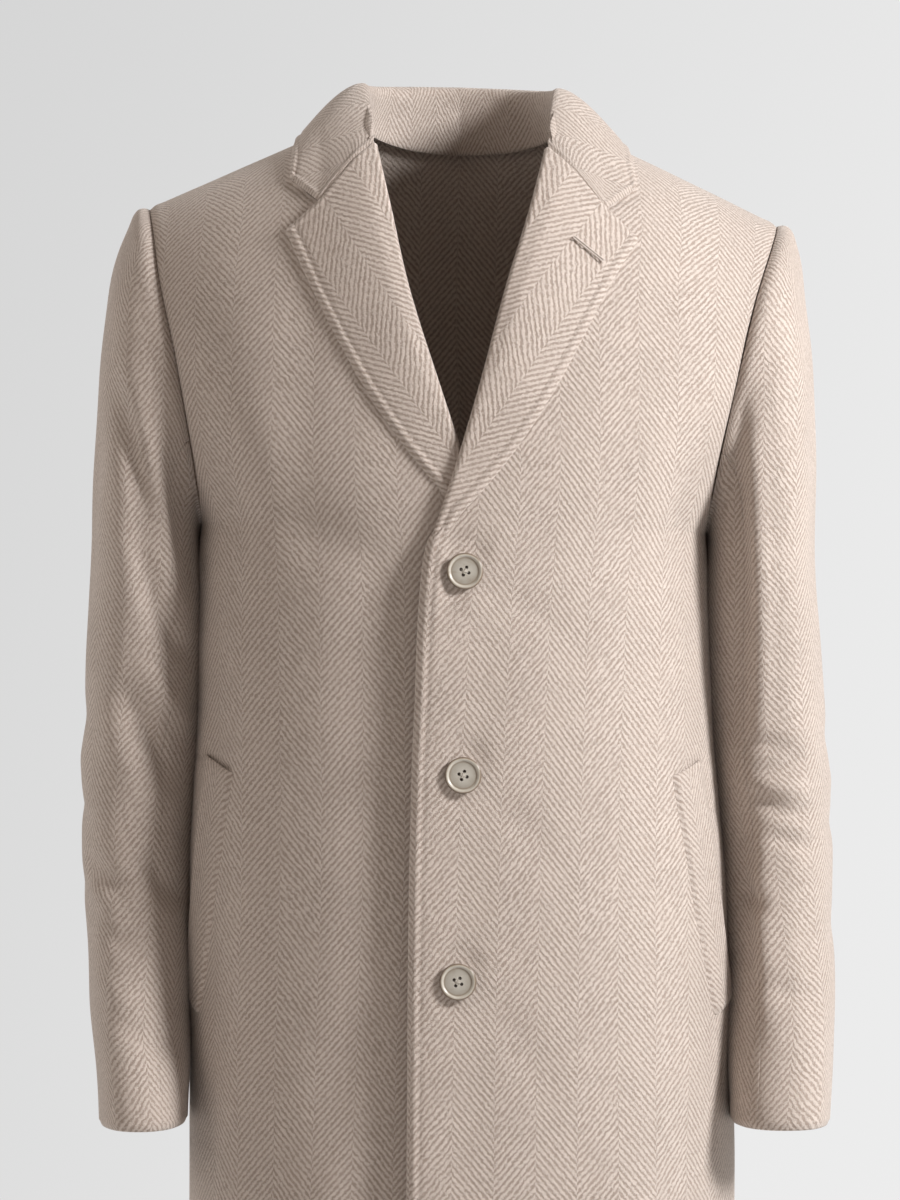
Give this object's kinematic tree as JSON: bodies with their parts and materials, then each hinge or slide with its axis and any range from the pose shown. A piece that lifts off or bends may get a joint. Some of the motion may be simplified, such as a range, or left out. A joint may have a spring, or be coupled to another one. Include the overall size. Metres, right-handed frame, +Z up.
{
  "type": "single-breasted wool topcoat",
  "caption": "Worn single-breasted notch-lapel wool topcoat, hollow and open at neck, hem and cuffs, with slanted welt pockets.",
  "frame": {"origin": "middle of the neck opening, level with the two points where the shoulder seams meet the collar", "axes": "+Z up the wearer's back, +X to the wearer's left, -Y the way the coat faces"},
  "size_m": [0.5436, 0.3181, 0.966],
  "materials": {
    "coating": "brushed herringbone wool",
    "button": "semi-gloss horn look"
  },
  "bodies": {
    "root": {"front_left": "coating", "front_right": "coating", "back_left": "coating", "back_right": "coating", "sleeve_top_left": "coating", "sleeve_top_right": "coating", "sleeve_under_left": "coating", "sleeve_under_right": "coating", "collar": "coating", "lapel_left": "coating", "lapel_right": "coating", "welt_left": "coating", "welt_right": "coating", "button_1": "button", "button_2": "button", "button_3": "button"}
  },
  "joints": []
}
